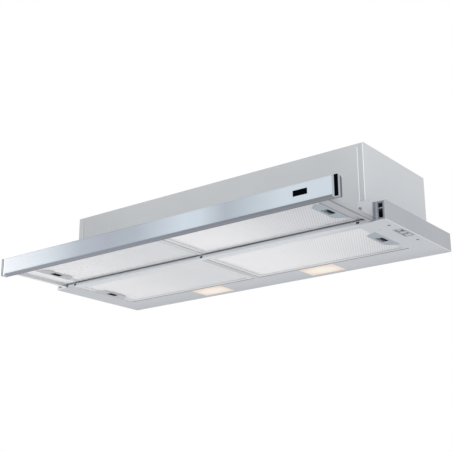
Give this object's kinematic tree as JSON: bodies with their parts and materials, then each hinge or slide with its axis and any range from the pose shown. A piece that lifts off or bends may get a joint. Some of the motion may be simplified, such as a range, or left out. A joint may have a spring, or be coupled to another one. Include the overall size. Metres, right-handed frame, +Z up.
{
  "type": "pull out range hood",
  "caption": "Pull-out range hood for a wall cabinet, with a sliding front drawer, hinged mesh grease filters, lamps, slider controls, a blower and a round duct collar.",
  "frame": {"origin": "middle of the rear wall's lower edge, at the underside of the base, with the drawer pulled out", "axes": "+X to the right along the width, +Y back to the wall, +Z up to the duct"},
  "size_m": [0.898, 0.459, 0.206],
  "materials": {
    "housing_paint": "smooth light grey powder coat",
    "side_paint": "smooth light grey powder coat",
    "guide_plastic": "moulded, fine grain",
    "galvanised": "galvanised sheet",
    "motor_paint": "dark enamel",
    "shaft_steel": "ground steel",
    "white_plastic": "moulded nylon",
    "black_plastic": "moulded",
    "bezel_plastic": "moulded, satin",
    "bulb_glass": "frosted glass",
    "lamp_cover": "clear moulded cover with fine ribs, lit from inside",
    "stainless_front": "brushed along its length",
    "panel_grey": "satin",
    "silver_trim": "anodised, satin",
    "gloss_black": "polished",
    "drawer_sheet": "light grey",
    "filter_frame": "anodised, satin",
    "filter_mesh": "expanded mesh",
    "latch_plastic": "moulded, satin"
  },
  "bodies": {
    "hood": {"housing_shell": "housing_paint", "housing_side_left": "side_paint", "housing_side_right": "side_paint", "base_tray": "side_paint", "front_crossbar": "housing_paint", "centre_rib": "housing_paint", "corner_plate_left": "side_paint", "corner_plate_right": "side_paint", "rail_guide_left": "guide_plastic", "rail_guide_right": "guide_plastic", "slide_channel_left": "galvanised", "slide_channel_right": "galvanised", "scroll_left": "galvanised", "scroll_right": "galvanised", "motor_body": "motor_paint", "motor_bracket": "galvanised", "capacitor": "white_plastic", "terminal_box": "white_plastic", "cable_gland": "black_plastic", "duct_collar": "guide_plastic", "control_bezel": "bezel_plastic", "switch_box": "black_plastic", "lamp_housing_left": "galvanised", "lamp_housing_right": "galvanised", "bulbs": "bulb_glass", "housing_screws": "galvanised", "switch_screws": "galvanised"},
    "wheel": {"impeller": "galvanised", "motor_shaft": "shaft_steel"},
    "flap_front": {"damper_flap_front": "black_plastic"},
    "flap_rear": {"damper_flap_rear": "black_plastic"},
    "light_knob": {"light_slider": "white_plastic"},
    "speed_knob": {"speed_slider": "white_plastic"},
    "lamp_cover_l": {"lamp_cover_left": "lamp_cover"},
    "lamp_cover_r": {"lamp_cover_right": "lamp_cover"},
    "drawer": {"front_panel": "stainless_front", "panel_back": "panel_grey", "end_cap_left": "silver_trim", "end_cap_right": "silver_trim", "end_strips": "gloss_black", "drawer_rail_left": "drawer_sheet", "drawer_rail_right": "drawer_sheet", "drawer_rib": "drawer_sheet", "drawer_front_bar": "drawer_sheet", "drawer_rear_bar": "black_plastic", "rail_glides": "white_plastic"},
    "rear_filter_left": {"rear_frame_left": "filter_frame", "rear_mesh_left": "filter_mesh"},
    "rear_catch_left": {"rear_latch_left": "latch_plastic"},
    "rear_filter_right": {"rear_frame_right": "filter_frame", "rear_mesh_right": "filter_mesh"},
    "rear_catch_right": {"rear_latch_right": "latch_plastic"},
    "front_filter_left": {"front_frame_left": "filter_frame", "front_mesh_left": "filter_mesh"},
    "front_catch_left": {"front_latch_left": "latch_plastic"},
    "front_filter_right": {"front_frame_right": "filter_frame", "front_mesh_right": "filter_mesh"},
    "front_catch_right": {"front_latch_right": "latch_plastic"}
  },
  "joints": [
    {"name": "drawer_slide", "type": "slide", "parent": "hood", "child": "drawer", "axis": [0, 1, 0], "range_m": [0, 0.1575]},
    {"name": "wheel_spin", "type": "hinge", "parent": "hood", "child": "wheel", "pos_m": [0, -0.136, 0.097], "axis": [1, 0, 0], "continuous": true},
    {"name": "flap_front_swing", "type": "hinge", "parent": "hood", "child": "flap_front", "pos_m": [0, -0.10841, 0.1893], "axis": [-1, 0, 0], "range_deg": [0, 75]},
    {"name": "flap_rear_swing", "type": "hinge", "parent": "hood", "child": "flap_rear", "pos_m": [0, -0.10001, 0.1893], "axis": [1, 0, 0], "range_deg": [0, 75]},
    {"name": "light_slide", "type": "slide", "parent": "hood", "child": "light_knob", "axis": [0, -1, 0], "range_m": [0, 0.009]},
    {"name": "speed_slide", "type": "slide", "parent": "hood", "child": "speed_knob", "axis": [0, -1, 0], "range_m": [0, 0.01]},
    {"name": "lamp_cover_l_swing", "type": "hinge", "parent": "hood", "child": "lamp_cover_l", "pos_m": [-0.157, -0.0155, 0.0005], "axis": [1, 0, 0], "range_deg": [0, 60]},
    {"name": "lamp_cover_r_swing", "type": "hinge", "parent": "hood", "child": "lamp_cover_r", "pos_m": [0.157, -0.0155, 0.0005], "axis": [1, 0, 0], "range_deg": [0, 60]},
    {"name": "rear_filter_left_swing", "type": "hinge", "parent": "hood", "child": "rear_filter_left", "pos_m": [-0.0085, -0.176, 0.0013], "axis": [0, -1, 0], "range_deg": [0, 35]},
    {"name": "rear_catch_left_slide", "type": "slide", "parent": "rear_filter_left", "child": "rear_catch_left", "axis": [1, 0, 0], "range_m": [0, 0.004], "stiffness_N_per_m": 400},
    {"name": "rear_filter_right_swing", "type": "hinge", "parent": "hood", "child": "rear_filter_right", "pos_m": [0.0085, -0.176, 0.0013], "axis": [0, 1, 0], "range_deg": [0, 35]},
    {"name": "rear_catch_right_slide", "type": "slide", "parent": "rear_filter_right", "child": "rear_catch_right", "axis": [-1, 0, 0], "range_m": [0, 0.004], "stiffness_N_per_m": 400},
    {"name": "front_filter_left_swing", "type": "hinge", "parent": "drawer", "child": "front_filter_left", "pos_m": [-0.0085, -0.361, 0.0113], "axis": [0, -1, 0], "range_deg": [0, 35]},
    {"name": "front_catch_left_slide", "type": "slide", "parent": "front_filter_left", "child": "front_catch_left", "axis": [1, 0, 0], "range_m": [0, 0.004], "stiffness_N_per_m": 400},
    {"name": "front_filter_right_swing", "type": "hinge", "parent": "drawer", "child": "front_filter_right", "pos_m": [0.0085, -0.361, 0.0113], "axis": [0, 1, 0], "range_deg": [0, 35]},
    {"name": "front_catch_right_slide", "type": "slide", "parent": "front_filter_right", "child": "front_catch_right", "axis": [-1, 0, 0], "range_m": [0, 0.004], "stiffness_N_per_m": 400}
  ]
}
